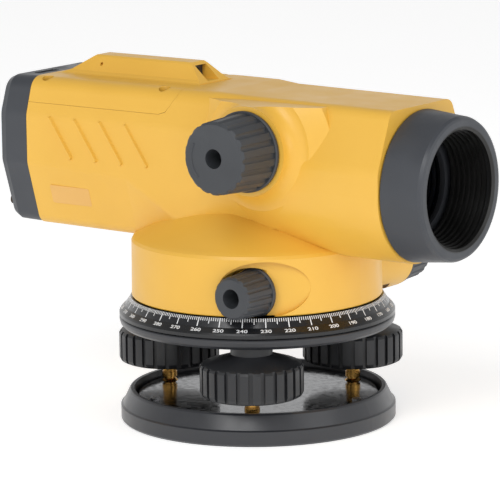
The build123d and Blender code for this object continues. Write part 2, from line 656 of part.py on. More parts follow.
with BuildPart() as rear_cover:
    add(rear_outside.part)
    add(rear_inside.part, mode=Mode.SUBTRACT)
    with BuildSketch(facing_x(REAR_END_X - 1)):
        Circle(EYE_TUBE_R)
    extrude(amount=6, mode=Mode.SUBTRACT)
    with BuildSketch(facing_x(REAR_END_X - 1)):
        with Locations(*[(y, z - AXIS_Z) for y, z in REAR_SCREWS]):
            Circle(SCREW_R)
    extrude(amount=5, mode=Mode.SUBTRACT)
    # thumb rest in the roof
    with BuildSketch(Plane.XY.offset(129.0)):
        with Locations((BODY_REAR_X - 5.5, -9)):
            SlotOverall(13, 4.2, rotation=90)
    extrude(amount=3, mode=Mode.SUBTRACT)
save(rear_cover, "rear_cover")

with BuildPart() as cover_screws:
    for x, y in COVER_SCREWS:
        post(x, y, 125.4, 127.2, SCREW_R)
        post(x, y, 119.0, 125.4, 1.1)
        block((x - 1.4, x + 1.4), (y - 0.3, y + 0.3), (126.5, 127.3), Mode.SUBTRACT)
        block((x - 0.3, x + 0.3), (y - 1.4, y + 1.4), (126.5, 127.3), Mode.SUBTRACT)
    with BuildSketch(facing_x(REAR_END_X + 0.6)):
        with Locations(*[(y, z - AXIS_Z) for y, z in REAR_SCREWS]):
            Circle(SCREW_R)
            RegularPolygon(0.9, 6, mode=Mode.SUBTRACT)
    extrude(amount=2.2)
save(cover_screws, "cover_screws")

with BuildPart() as lower_cover:
    post(0, 0, LOWER_COVER_Z, LOWER_COVER_TOP_Z, DRUM_INNER_R)
    post(0, 0, LOWER_COVER_Z, LOWER_COVER_TOP_Z, HUB_R + 0.5, Mode.SUBTRACT)
    spindle(WORM_X, WORM_Z, FINE_RIGHT_Y + 2, -60, FINE_BORE_R, Mode.SUBTRACT)
    spindle(WORM_X, WORM_Z, -60, 60, WORM_SHAFT_R + 2, Mode.SUBTRACT)
save(lower_cover, "lower_cover")

with BuildPart() as axis_bush:
    post(0, 0, HUB_TOP_Z + 0.2, FLANGE_Z, BUSH_OUTER_R)
    post(0, 0, FLANGE_Z, LEDGE_Z, 29.5)
    post(0, 0, HUB_TOP_Z + 0.2, LEDGE_Z, SPINDLE_R + RUN, Mode.SUBTRACT)
save(axis_bush, "axis_bush")

with BuildPart() as shaft_bushes:
    spindle(WORM_X, WORM_Z, FINE_RIGHT_Y + GAP, -27, SHAFT_BUSH_R)
    spindle(WORM_X, WORM_Z, 44, FINE_BOSS_Y, SHAFT_BUSH_R)
    spindle(WORM_X, WORM_Z, -60, 60, WORM_SHAFT_R + RUN, Mode.SUBTRACT)
    spindle(FOCUS_X, FOCUS_Z, FOCUS_BACK_Y + GAP, -23, SHAFT_BUSH_R)
    spindle(FOCUS_X, FOCUS_Z, -60, 0, WORM_SHAFT_R + RUN, Mode.SUBTRACT)
save(shaft_bushes, "shaft_bushes")

# ---- objective ----------------------------------------------------------------------

BAFFLES = 8
BAFFLE_PITCH = 2.0
BAFFLE_DEPTH = 1.0
LAST_BAFFLE_R = 19.0
SPIGOT_X = BODY_FRONT_X - 6.5
CELL_R = 22.0

barrel_bore = [(HOOD_FRONT_X, HOOD_BORE_R + 1.0), (HOOD_FRONT_X - 0.8, HOOD_BORE_R)]
for step in range(BAFFLES):
    lip_x = HOOD_FRONT_X - 1.4 - step * BAFFLE_PITCH
    lip_r = HOOD_BORE_R - (HOOD_BORE_R - LAST_BAFFLE_R) * step / (BAFFLES - 1)
    barrel_bore += [(lip_x, lip_r), (lip_x - 0.6, lip_r)]
    barrel_bore += [(lip_x - 0.6, lip_r + BAFFLE_DEPTH), (lip_x - BAFFLE_PITCH + 0.1, lip_r + BAFFLE_DEPTH)]
objective_barrel = along_sight([
    (BODY_FRONT_X, LENS_BORE_R), (BODY_FRONT_X + 0.2, HOOD_R - 0.5), (BODY_FRONT_X + 0.7, HOOD_R),
    (HOOD_FRONT_X - 1.6, HOOD_FRONT_R), (HOOD_FRONT_X - 0.4, HOOD_FRONT_R - 0.6),
    (HOOD_FRONT_X, HOOD_FRONT_R - 1.5),
    *barrel_bore, (76.4, CELL_R), (SPIGOT_X, CELL_R), (SPIGOT_X, LENS_BORE_R),
])
save(objective_barrel, "objective_barrel")

objective_cell = along_sight([
    (64.0, LENS_R - 1.5), (66.0, LENS_R - 1.5), (66.0, LENS_R), (74.4, LENS_R), (74.4, LENS_R - 0.7),
    (75.6, LENS_R - 0.7), (75.6, CELL_R), (64.0, CELL_R),
])
save(objective_cell, "objective_cell")


def lens(x_rear, x_front, radius, rear_bulge, front_bulge):
    """Lens turned about the line of sight; the bulges are the heights of its faces."""
    rim = AXIS_Z + radius
    with BuildPart() as piece:
        with BuildSketch(Plane.XZ):
            with BuildLine():
                Line((x_rear - rear_bulge, AXIS_Z), (x_front + front_bulge, AXIS_Z))
                for x, bulge in ((x_front, front_bulge), (x_rear, -rear_bulge)):
                    ball_r = (radius ** 2 + bulge ** 2) / 2 / bulge
                    half_angle = asin(radius / ball_r) / 2
                    middle = (x + bulge - ball_r * (1 - cos(half_angle)), AXIS_Z + ball_r * sin(half_angle))
                    ThreePointArc((x, rim), middle, (x + bulge, AXIS_Z))
                Line((x_rear, rim), (x_front, rim))
            make_face()
        revolve(axis=SIGHT_LINE)
    return piece


save(lens(70.5, 73.0, LENS_R, 1.4, 1.4), "objective_front_lens")
save(lens(66.4, 68.2, LENS_R - 0.05, 0.2, 0.5), "objective_rear_lens")

# ---- focusing -----------------------------------------------------------------------

RACK_PITCH_Z = FOCUS_Z - PINION_R
RACK_TEETH = 16
RACK_WIDTH = 4.0
TOOTH_PITCH = pi * PINION_MODULE
RACK_BASE_Z = RACK_PITCH_Z - 1.5
ROOT_Z = RACK_PITCH_Z - 0.6
TIP_Z = RACK_PITCH_Z + 0.45
TOOTH_WIDTH = 0.6
FOCUS_TRAVEL = 10.0
TUBE_HALF = 13.0

with BuildPart() as focus_guide:
    rear_x = FOCUS_X - TUBE_HALF - FOCUS_TRAVEL
    front_x = FOCUS_X + TUBE_HALF + FOCUS_TRAVEL
    add(tube(rear_x - 1, front_x + 1, 10.0, FOCUS_TUBE_R + RUN).part)
    add(tube(front_x, front_x + 3, 24.0, 9.0).part)
    block((-20, front_x + 3.1), (-2.6, 2.6), (AXIS_Z + 5, AXIS_Z + 12), Mode.SUBTRACT)
save(focus_guide, "focus_guide")

with BuildPart() as focusing_tube:
    add(tube(FOCUS_X - TUBE_HALF, FOCUS_X + TUBE_HALF, FOCUS_TUBE_R, 6.6).part)
    block((0, 60), (-2.1, 2.1), (RACK_BASE_Z, AXIS_Z + 9), Mode.SUBTRACT)
save(focusing_tube, "focusing_tube")
save(lens(20.0, 21.5, 6.6, -0.6, -0.6), "focusing_lens")

with BuildPart() as focus_rack:
    teeth_line = []
    first = FOCUS_X - TOOTH_PITCH * (RACK_TEETH - 1) / 2 - TOOTH_PITCH / 2
    for tooth in range(RACK_TEETH):
        middle = first + tooth * TOOTH_PITCH
        for offset, z in ((-0.75, ROOT_Z), (-0.25, TIP_Z), (0.25, TIP_Z), (0.75, ROOT_Z)):
            teeth_line.append((middle + offset * TOOTH_WIDTH, z))
    with BuildSketch(Plane.XZ.offset(-RACK_WIDTH / 2)):
        with BuildLine():
            Polyline(
                (FOCUS_X - TUBE_HALF, RACK_BASE_Z), (FOCUS_X - TUBE_HALF, ROOT_Z), *teeth_line,
                (FOCUS_X + TUBE_HALF, ROOT_Z), (FOCUS_X + TUBE_HALF, RACK_BASE_Z), close=True,
            )
        make_face()
    extrude(amount=RACK_WIDTH)
save(focus_rack, "focus_rack")

with BuildPart() as focus_pinion:
    spindle(FOCUS_X, FOCUS_Z, -2, FOCUS_FACE_Y + KNOB_HOLE_DEPTH, WORM_SHAFT_R)
    with BuildSketch(facing_right(FOCUS_X, RACK_WIDTH / 2, FOCUS_Z)):
        with BuildLine():
            tip_r = PINION_R + 0.45
            root_r = PINION_R - 0.6
            Polyline(*gear_outline(PINION_TEETH, tip_r, root_r, TOOTH_WIDTH, -pi / 2), close=True)
        make_face()
    extrude(amount=RACK_WIDTH)
save(focus_pinion, "focus_pinion")

focus_knob = knob(
    FOCUS_X, FOCUS_Z, FOCUS_BACK_Y, FOCUS_BACK_Y - FOCUS_FACE_Y, 14.7, 13.7, 15.4, 18, 1.5,
)
save(focus_knob, "focus_knob")

# ---- compensator --------------------------------------------------------------------

FRAME_REAR_X = -50.0
FRAME_FRONT_X = -8.0
PIVOT_X = -29.0
PIVOT_Z = 113.0
PRISM_HALF = 7.0
PENDULUM_Z = 80.0
SWING_GAP = 0.6


def prism(x_from, x_to, z_from, z_to, half, lean):
    """Glass prism across the light path; lean slopes its two end faces."""
    with BuildPart() as piece:
        with BuildSketch(Plane.XZ.offset(-half)):
            with BuildLine():
                foot = [(x_from, z_from), (x_to, z_from)]
                Polyline(*foot, (x_to - lean, z_to), (x_from + lean, z_to), close=True)
            make_face()
        extrude(amount=2 * half)
    return piece


with BuildPart() as compensator_frame:
    block((FRAME_REAR_X, FRAME_FRONT_X), (-18, 18), (75.0, 118.0))
    block((FRAME_REAR_X - 1, FRAME_FRONT_X + 1), (-15.5, 15.5), (78.0, 115.5), Mode.SUBTRACT)
    block((FRAME_REAR_X + 5, FRAME_FRONT_X - 5), (-19, 19), (84.0, 110.0), Mode.SUBTRACT)
    for x in (PIVOT_X - 6, PIVOT_X + 6):
        block((x - 1.5, x + 1.5), (-15.5, -12.5), (111.0, 115.5))
        block((x - 1.5, x + 1.5), (12.5, 15.5), (111.0, 115.5))
    for x in (FRAME_FRONT_X - 5.75, FRAME_REAR_X + 5.75):
        block((x - 5.25, x + 5.25), (-PRISM_HALF, PRISM_HALF), (105.0, 115.5))
save(compensator_frame, "compensator_frame")

with BuildPart() as fixed_prisms:
    add(prism(FRAME_FRONT_X - 11, FRAME_FRONT_X - 0.5, 90.5, 105.0, PRISM_HALF, 0).part)
    add(prism(FRAME_REAR_X + 0.5, FRAME_REAR_X + 11, 90.5, 105.0, PRISM_HALF, 0).part)
save(fixed_prisms, "fixed_prisms")

with BuildPart() as pendulum:
    for side in (-1, 1):
        with Locations((PIVOT_X, side * 10.5, (PENDULUM_Z + 3 + PIVOT_Z - 3) / 2)):
            Box(16.0, 1.6, PIVOT_Z - PENDULUM_Z - 6)
    block((PIVOT_X - 9, PIVOT_X + 9), (-11.3, 11.3), (PENDULUM_Z + 1, PENDULUM_Z + 3))
save(pendulum, "pendulum")
save(prism(PIVOT_X - 9, PIVOT_X + 9, PENDULUM_Z + 3, PENDULUM_Z + 12, PRISM_HALF, 5.0), "pendulum_prism")

with BuildPart() as suspension_tapes:
    for x in (PIVOT_X - 6, PIVOT_X + 6):
        for side in (-1, 1):
            tape_y = side * 11.8
            clamp_y = side * 11.65
            block((x - 0.6, x + 0.6), (tape_y - 0.15, tape_y + 0.15), (PENDULUM_Z + 18, PIVOT_Z - 2.2))
            block((x - 1.2, x + 1.2), (clamp_y - 0.35, clamp_y + 0.35), (PENDULUM_Z + 17, PENDULUM_Z + 20))
save(suspension_tapes, "suspension_tapes")

with BuildPart() as damping_vane:
    block((PIVOT_X - 7, PIVOT_X + 7), (-0.7, 0.7), (PENDULUM_Z - 1.4, PENDULUM_Z + 1))
save(damping_vane, "damping_vane")

with BuildPart() as damping_magnets:
    for side in (-1, 1):
        block((PIVOT_X - 6, PIVOT_X + 6), (side * 3.5 - 2.0, side * 3.5 + 2.0), (78.0, PENDULUM_Z + 0.4))
save(damping_magnets, "damping_magnets")

# ---- reticle and eyepiece -----------------------------------------------------------

EYE_TUBE_END_X = -109.0
RETICLE_X = -84.0
RING_R = 12.6
RING_FRONT_X = REAR_END_X - GAP
RING_END_X = -113.5
RING_GROOVES = 28
RING_GROOVE_R = 0.9
RING_GROOVE_LENGTH = 5.0

save(tube(EYE_TUBE_END_X, -78.0, EYE_TUBE_R, EYE_CELL_R + RUN), "eyepiece_tube")
save(tube(RETICLE_X - 2, RETICLE_X + 2, EYE_CELL_R + RUN, 6.0), "reticle_cell")
save(tube(RETICLE_X - 0.6, RETICLE_X + 0.6, 6.0, 0.0), "reticle_glass")
save(tube(EYE_END_X, -94.0, EYE_CELL_R, EYE_BORE_R), "eyepiece_lens_tube")
with BuildPart() as eyepiece_lenses:
    add(lens(-113.0, -110.0, EYE_BORE_R, 0.8, 0.8).part)
    add(lens(-104.5, -102.0, EYE_BORE_R, 1.2, 0.3).part)
save(eyepiece_lenses, "eyepiece_lenses")

dioptre_ring = along_sight([
    (RING_FRONT_X, EYE_TUBE_R + RUN), (RING_FRONT_X, RING_R - 0.6), (RING_FRONT_X - 0.6, RING_R),
    (RING_END_X + 1.2, RING_R), (RING_END_X, RING_R - 1.2), (RING_END_X, EYE_CELL_R + GAP),
    (EYE_TUBE_END_X - GAP, EYE_CELL_R + GAP), (EYE_TUBE_END_X - GAP, EYE_TUBE_R + RUN),
])
with dioptre_ring:
    with Locations(facing_x((RING_FRONT_X + RING_END_X) / 2 + 0.2)):
        with PolarLocations(RING_R + 0.5, RING_GROOVES):
            Cylinder(RING_GROOVE_R, RING_GROOVE_LENGTH, mode=Mode.SUBTRACT)
save(dioptre_ring, "dioptre_ring")

# ---- sight plate, name plate --------------------------------------------------------

with BuildPart() as sight_plate:
    block((-28.4, -27.6), (-SIGHT_HALF, SIGHT_HALF), SIGHT_Z)
    with BuildSketch(facing_x(-32)):
        with Locations((0, PEEP_Z - AXIS_Z)):
            Circle(PEEP_R)
    extrude(amount=5, mode=Mode.SUBTRACT)
save(sight_plate, "sight_plate")

with BuildPart() as name_plate:
    with BuildSketch(NAME_PLATE_SEAT):
        RectangleRounded(19.4, 7.6, 0.8)
    extrude(amount=0.45)
save(name_plate, "name_plate")

# ---- circular level and its mirror --------------------------------------------------

VIAL_R = 7.6
MIRROR_HINGE_X = LEVEL_X + 10.0
MIRROR_Z = LEVEL_Z + 12.4
MIRROR_HALF = 6.5
PIVOT_PIN_R = 0.8

with BuildPart() as level_housing:
    post(LEVEL_X, LEVEL_Y, LEVEL_Z, LEVEL_Z + 9, LEVEL_R)
    post(LEVEL_X, LEVEL_Y, LEVEL_Z + 1.5, LEVEL_Z + 9, VIAL_R, Mode.SUBTRACT)
    for side in (-1, 1):
        y = LEVEL_Y + side * (MIRROR_HALF + 1.6)
        block((LEVEL_X + 5, MIRROR_HINGE_X + 2), (y - 1, y + 1), (LEVEL_Z, LEVEL_Z + 4))
        block((MIRROR_HINGE_X - 2, MIRROR_HINGE_X + 2), (y - 1, y + 1), (LEVEL_Z, MIRROR_Z + 2))
    spindle(MIRROR_HINGE_X, MIRROR_Z, LEVEL_Y - 20, LEVEL_Y + 20, PIVOT_PIN_R, Mode.SUBTRACT)
save(level_housing, "level_housing")

with BuildPart() as level_vial:
    post(LEVEL_X, LEVEL_Y, LEVEL_Z + 1.5, LEVEL_Z + 8.2, VIAL_R)
save(level_vial, "level_vial")

with BuildPart() as level_adjusting_screws:
    for angle in (5, 125, 245):
        x, y = on_circle(LEVEL_R - 2.4, angle)
        post(LEVEL_X + x, LEVEL_Y + y, LEVEL_Z - 5.0, LEVEL_Z - 3.0, 2.0)
save(level_adjusting_screws, "level_adjusting_screws")

with BuildPart() as mirror_hinge_pin:
    reach = MIRROR_HALF + 2.6
    spindle(MIRROR_HINGE_X, MIRROR_Z, LEVEL_Y - reach, LEVEL_Y + reach, PIVOT_PIN_R)
save(mirror_hinge_pin, "mirror_hinge_pin")

GLASS_X = (LEVEL_X - 8.0, MIRROR_HINGE_X - 4)
GLASS_Y = (LEVEL_Y - MIRROR_HALF + 1, LEVEL_Y + MIRROR_HALF - 1)

with BuildPart() as mirror_frame:
    near_y = LEVEL_Y - MIRROR_HALF
    far_y = LEVEL_Y + MIRROR_HALF
    block((LEVEL_X - 9.0, MIRROR_HINGE_X), (near_y, far_y), (MIRROR_Z - 1.5, MIRROR_Z + 1.5))
    block(GLASS_X, GLASS_Y, (MIRROR_Z - 1.5, MIRROR_Z - 0.3), Mode.SUBTRACT)
    spindle(MIRROR_HINGE_X, MIRROR_Z, near_y, far_y, 1.5)
    spindle(MIRROR_HINGE_X, MIRROR_Z, near_y, far_y, PIVOT_PIN_R + RUN, Mode.SUBTRACT)
save(mirror_frame, "mirror_frame")

with BuildPart() as mirror_glass:
    block(GLASS_X, GLASS_Y, (MIRROR_Z - 1.4, MIRROR_Z - 0.3))
save(mirror_glass, "mirror_glass")
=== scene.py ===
import json
from math import cos, hypot, pi, radians, sin

import bmesh
import bpy
from mathutils import Matrix, Vector


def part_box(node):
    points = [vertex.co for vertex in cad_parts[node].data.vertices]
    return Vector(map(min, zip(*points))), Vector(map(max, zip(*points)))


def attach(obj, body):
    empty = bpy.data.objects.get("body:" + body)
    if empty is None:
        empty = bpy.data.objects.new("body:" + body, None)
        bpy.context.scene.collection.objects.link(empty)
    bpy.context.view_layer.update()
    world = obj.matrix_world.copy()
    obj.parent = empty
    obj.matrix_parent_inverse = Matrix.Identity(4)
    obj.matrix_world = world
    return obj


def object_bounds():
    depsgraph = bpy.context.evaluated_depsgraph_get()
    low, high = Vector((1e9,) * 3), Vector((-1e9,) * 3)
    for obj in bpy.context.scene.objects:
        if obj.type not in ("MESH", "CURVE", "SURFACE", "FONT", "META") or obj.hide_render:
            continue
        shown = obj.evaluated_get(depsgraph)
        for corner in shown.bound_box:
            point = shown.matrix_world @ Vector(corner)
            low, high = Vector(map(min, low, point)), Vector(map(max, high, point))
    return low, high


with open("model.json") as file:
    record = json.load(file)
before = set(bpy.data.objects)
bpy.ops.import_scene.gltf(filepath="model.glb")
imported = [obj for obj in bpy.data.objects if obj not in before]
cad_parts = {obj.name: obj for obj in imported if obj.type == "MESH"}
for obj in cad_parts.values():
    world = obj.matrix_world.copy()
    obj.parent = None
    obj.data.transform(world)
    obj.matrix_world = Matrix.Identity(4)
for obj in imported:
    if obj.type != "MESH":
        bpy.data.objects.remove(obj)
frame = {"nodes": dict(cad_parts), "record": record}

cad_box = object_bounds()
record = frame["record"]
MM = 0.001
MICRON = 0.000001
AXIS_HEIGHT = 97.7 * MM      # height of the line of sight


# ---- material tools -----------------------------------------------------------------

def linear(red, green, blue):
    """Linear colour of an 8-bit sRGB colour."""
    def channel(value):
        value /= 255
        return value / 12.92 if value <= 0.04045 else ((value + 0.055) / 1.055) ** 2.4
    return channel(red), channel(green), channel(blue), 1.0


class Look:
    """A procedural material: a Principled shader with noise for its colour, roughness and relief."""

    def __init__(self, name, colour, roughness, metallic=0.0, **sockets):
        self.material = bpy.data.materials.new(name)
        self.material.use_nodes = True
        self.tree = self.material.node_tree
        self.shader = self.tree.nodes["Principled BSDF"]
        self.colour = colour
        self.shader.inputs["Base Color"].default_value = colour
        self.shader.inputs["Roughness"].default_value = roughness
        self.shader.inputs["Metallic"].default_value = metallic
        for socket, value in sockets.items():
            self.shader.inputs[socket.replace("_", " ")].default_value = value
        self.place = self.tree.nodes.new("ShaderNodeTexCoord").outputs["Object"]
        self.height = None

    def link(self, output, target):
        self.tree.links.new(output, target)

    def noise(self, scale, detail=3.0, squeeze=(1, 1, 1)):
        """Noise of a given number of cells per metre, squeezed along an axis if asked."""
        mapping = self.tree.nodes.new("ShaderNodeMapping")
        mapping.inputs["Scale"].default_value = squeeze
        node = self.tree.nodes.new("ShaderNodeTexNoise")
        node.inputs["Scale"].default_value = scale
        node.inputs["Detail"].default_value = detail
        self.link(self.place, mapping.inputs["Vector"])
        self.link(mapping.outputs["Vector"], node.inputs["Vector"])
        return node.outputs["Fac"]

    def ranged(self, value, low, high, from_low=0.3, from_high=0.7):
        """A value spread over a new range."""
        node = self.tree.nodes.new("ShaderNodeMapRange")
        node.inputs["From Min"].default_value = from_low
        node.inputs["From Max"].default_value = from_high
        node.inputs["To Min"].default_value = low
        node.inputs["To Max"].default_value = high
        self.link(value, node.inputs["Value"])
        return node.outputs["Result"]

    def tint(self, value, other, amount=1.0):
        """Shifts the base colour towards another where the value is high."""
        mix = self.tree.nodes.new("ShaderNodeMix")
        mix.data_type = "RGBA"
        colours = [socket for socket in mix.inputs if socket.type == "RGBA"]
        base = self.shader.inputs["Base Color"]
        if base.is_linked:
            self.link(base.links[0].from_socket, colours[0])
        else:
            colours[0].default_value = self.colour
        colours[1].default_value = other
        self.link(self.ranged(value, 0.0, amount), mix.inputs["Factor"])
        self.link([socket for socket in mix.outputs if socket.type == "RGBA"][0], base)
        return self

    def gloss(self, value, low, high):
        """Roughness that wanders between two values."""
        self.link(self.ranged(value, low, high), self.shader.inputs["Roughness"])
        return self

    def relief(self, value, distance, strength=1.0):
        """Surface relief of a given depth in metres, on top of any before it."""
        bump = self.tree.nodes.new("ShaderNodeBump")
        bump.inputs["Strength"].default_value = strength
        bump.inputs["Distance"].default_value = distance
        self.link(value, bump.inputs["Height"])
        if self.height:
            self.link(self.height, bump.inputs["Normal"])
        self.height = bump.outputs["Normal"]
        self.link(self.height, self.shader.inputs["Normal"])
        return self


def enamel(name, colour, shade, roughness, grain):
    """Sprayed paint on a casting: slow colour drift, orange peel and fine dust."""
    look = Look(name, colour, roughness, Coat_Weight=0.12, Coat_Roughness=0.25)
    look.tint(look.noise(28, 4), shade, 0.35)
    look.tint(look.noise(2600, 2), shade, 0.12)
    look.gloss(look.noise(90, 5), roughness - 0.05, roughness + 0.08)
    look.relief(look.noise(900, 2), grain)
    look.relief(look.noise(3500, 1), grain * 0.4)
    return look


def plastic(name, colour, shade, roughness, grain):
    """Moulded plastic with a spark-eroded grain and faint rubbing."""
    look = Look(name, colour, roughness, Specular_IOR_Level=0.5)
    look.tint(look.noise(40, 5), shade, 0.6)
    look.tint(look.noise(3000, 2), shade, 0.3)
    look.gloss(look.noise(120, 6), roughness - 0.07, roughness + 0.1)
    look.relief(look.noise(3200, 2), grain)
    return look


def turned_metal(name, colour, shade, roughness, squeeze, depth):
    """Machined metal with tool marks; they are crowded along the axis with the larger squeeze."""
    look = Look(name, colour, roughness, metallic=1.0)
    look.tint(look.noise(60, 4), shade, 0.5)
    marks = look.noise(500, 3, squeeze)
    look.tint(marks, shade, 0.35)
    look.gloss(marks, roughness - 0.06, roughness + 0.12)
    look.relief(marks, depth)
    return look


def optical(name, colour, coating, roughness, transmission):
    """Glass with a thin coating and a trace of dust."""
    look = Look(
        name, colour, roughness, IOR=1.5, Transmission_Weight=transmission, Coat_Weight=1.0,
        Coat_Roughness=0.03, Coat_Tint=coating,
    )
    look.tint(look.noise(60, 3), coating, 0.15)
    look.gloss(look.noise(700, 6), roughness, roughness + 0.04)
    look.relief(look.noise(50, 2), 2 * MICRON)
    return look


BORE_R = (23.2 * MM, 23.9 * MM)      # black inside the first radius, plastic outside the second
BORE_X = (60 * MM, 61 * MM)          # and black only in front of this stretch


def blacken_bore(look):
    """Flat black inside the objective barrel: near the line of sight, in front of the housing."""
    nodes = look.tree.nodes
    to_local = frame["nodes"]["objective_barrel"].matrix_world.inverted()
    offset = nodes.new("ShaderNodeVectorMath")
    offset.operation = "SUBTRACT"
    offset.inputs[1].default_value = to_local @ Vector((0, 0, AXIS_HEIGHT))
    look.link(look.place, offset.inputs[0])
    split = nodes.new("ShaderNodeSeparateXYZ")
    look.link(offset.outputs["Vector"], split.inputs["Vector"])
    across = nodes.new("ShaderNodeCombineXYZ")
    look.link(split.outputs["Y"], across.inputs["Y"])
    look.link(split.outputs["Z"], across.inputs["Z"])
    distance = nodes.new("ShaderNodeVectorMath")
    distance.operation = "LENGTH"
    look.link(across.outputs["Vector"], distance.inputs[0])
    inside = look.ranged(distance.outputs["Value"], 1.0, 0.0, *BORE_R)
    forward = look.ranged(split.outputs["X"], 0.0, 1.0, *BORE_X)
    both = nodes.new("ShaderNodeMath")
    both.operation = "MULTIPLY"
    look.link(inside, both.inputs[0])
    look.link(forward, both.inputs[1])
    look.tint(look.ranged(both.outputs["Value"], 0.3, 0.7, 0.0, 1.0), BORE_BLACK)


YELLOW = linear(232, 182, 70)
BORE_BLACK = linear(17, 17, 16)
EVEN = (1, 1, 1)             # tool marks the same in every direction
LEVEL = (1, 1, 6)            # tool marks that run level, so round an upright axis
FINE_LEVEL = (1, 1, 8)
CROSSWISE = (6, 1, 1)        # tool marks that run across the line of sight

LOOKS = {
    "yellow_paint": enamel("yellow_enamel", YELLOW, linear(218, 164, 54), 0.42, 10 * MICRON),
    "name_plate": enamel("plate_enamel", linear(228, 178, 96), linear(214, 160, 78), 0.5, 6 * MICRON),
    "black_metal": enamel("black_enamel", linear(42, 43, 47), linear(54, 56, 60), 0.34, 12 * MICRON),
    "circle_black": enamel("circle_enamel", linear(16, 17, 19), linear(30, 31, 34), 0.26, 4 * MICRON),
    "circle_scale": enamel("scale_enamel", linear(18, 19, 22), linear(46, 48, 52), 0.22, 3 * MICRON),
    "grey_plastic": plastic("charcoal_plastic", linear(62, 65, 71), linear(50, 53, 58), 0.42, 12 * MICRON),
    "knob_rubber": plastic("knob_plastic", linear(62, 65, 69), linear(48, 50, 54), 0.46, 14 * MICRON),
    "foot_knob_plastic": plastic(
        "foot_knob_plastic", linear(38, 39, 42), linear(28, 29, 31), 0.42, 14 * MICRON,
    ),
    "spring_steel": turned_metal(
        "polished_steel", linear(96, 97, 100), linear(74, 75, 78), 0.12, EVEN, MICRON,
    ),
    "steel": turned_metal(
        "turned_steel", linear(175, 175, 178), linear(140, 140, 144), 0.28, LEVEL, 6 * MICRON,
    ),
    "dark_steel": turned_metal(
        "blackened_steel", linear(74, 62, 48), linear(50, 42, 34), 0.42, LEVEL, 6 * MICRON,
    ),
    "brass": turned_metal(
        "turned_brass", linear(214, 168, 92), linear(176, 128, 62), 0.26, FINE_LEVEL, 8 * MICRON,
    ),
    "bare_aluminium": turned_metal(
        "milled_aluminium", linear(186, 187, 190), linear(156, 158, 162), 0.32, CROSSWISE, 6 * MICRON,
    ),
    "coated_glass": optical("coated_glass", linear(60, 70, 84), linear(52, 66, 96), 0.02, 0.9),
    "clear_glass": optical("clear_glass", linear(236, 242, 240), linear(235, 240, 245), 0.01, 0.95),
    "vial_glass": optical("vial_spirit", linear(196, 222, 96), linear(235, 245, 225), 0.02, 0.35),
    "mirror": turned_metal(
        "silvered_glass", linear(226, 228, 230), linear(214, 217, 220), 0.08, EVEN, MICRON,
    ),
}
blacken_bore(LOOKS["grey_plastic"])
WHITE_INK = enamel("white_ink", linear(232, 233, 234), linear(210, 212, 214), 0.45, 3 * MICRON)
BLACK_INK = enamel("black_ink", linear(22, 22, 24), linear(36, 36, 38), 0.5, 3 * MICRON)
BUBBLE_LOOK = optical("bubble", linear(244, 250, 214), linear(250, 252, 240), 0.03, 0.6)

for part in record["subparts"]:
    slots = frame["nodes"][part["node"]].material_slots
    for material_slot in slots:
        material_slot.material = LOOKS[part["material_slot"]].material


# ---- mesh tools ---------------------------------------------------------------------

def piece(name, mesh_data, look, body):
    """Makes an object of a bmesh, paints it, and lets it ride on a CAD body."""
    mesh = bpy.data.meshes.new(name)
    mesh_data.to_mesh(mesh)
    mesh_data.free()
    mesh.materials.append(look.material)
    thing = bpy.data.objects.new(name, mesh)
    bpy.context.scene.collection.objects.link(thing)
    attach(thing, body)
    return thing


def slab(mesh_data, place, width, length, thickness):
    """Adds a thin bevelled strip: width along x, length along y from the origin, thickness along z."""
    edge = thickness * 0.5
    rings = []
    for inset, height in ((0.0, -thickness), (0.0, thickness - edge), (edge, thickness)):
        half = width / 2 - inset
        corners = ((-half, inset), (half, inset), (half, length - inset), (-half, length - inset))
        rings.append([mesh_data.verts.new(place @ Vector((x, y, height))) for x, y in corners])
    for lower, upper in zip(rings, rings[1:]):
        for corner in range(4):
            after = (corner + 1) % 4
            mesh_data.faces.new((lower[corner], lower[after], upper[after], upper[corner]))
    mesh_data.faces.new(rings[-1])
    mesh_data.faces.new(rings[0][::-1])


def on_cone(angle, radius, height, rise):
    """Frame on a cone about the vertical axis: x to the right, y up the slope, z out of it.

    rise is the slope's direction as (change of radius, change of height)."""
    size = hypot(*rise)
    inward, up = rise[0] / size, rise[1] / size
    right = Vector((-sin(angle), cos(angle), 0))
    along = Vector((inward * cos(angle), inward * sin(angle), up))
    out = right.cross(along)
    spot = Vector((radius * cos(angle), radius * sin(angle), height))
    return Matrix.Translation(spot) @ Matrix((right, along, out)).transposed().to_4x4()


# ---- graduation of the horizontal circle --------------------------------------------

ring_low, ring_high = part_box("circle_ring")
scale_low, scale_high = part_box("circle_scale")
SCALE_TOP = (49.0 * MM, scale_high[2])
SCALE_FOOT = (scale_high[0], scale_low[2])
BAND_FOOT = (ring_high[0] - 0.5 * MM, ring_low[2] + 2.2 * MM)
SCALE_RISE = (SCALE_TOP[0] - SCALE_FOOT[0], SCALE_TOP[1] - SCALE_FOOT[1])
BAND_RISE = (SCALE_FOOT[0] - BAND_FOOT[0], SCALE_FOOT[1] - BAND_FOOT[1])
ANGLE_OF_240 = radians(-60.4)      # where the 240 degree mark stands in the frame
INK = 0.02 * MM                    # thickness of the ink
LONG_MARK = (0.97, 0.42 * MM)      # part of the slope that a mark covers, and its width
MIDDLE_MARK = (0.62, 0.34 * MM)
SHORT_MARK = (0.36, 0.3 * MM)
MARK_MARGIN = 0.02                 # part of the slope left free at a mark's upper end
NUMERAL_HEIGHT = 2.2 * MM
NUMERAL_BOLDNESS = 0.035 * MM
NUMERAL_DROP = 0.2 * MM            # how far the numbers stand below the middle of their band
NUMERAL_STRETCH = (1.3, 0.9)


def dial_angle(degree):
    """Angle in the frame of a mark on the dial, which counts clockwise from above."""
    return ANGLE_OF_240 + radians(240 - degree)


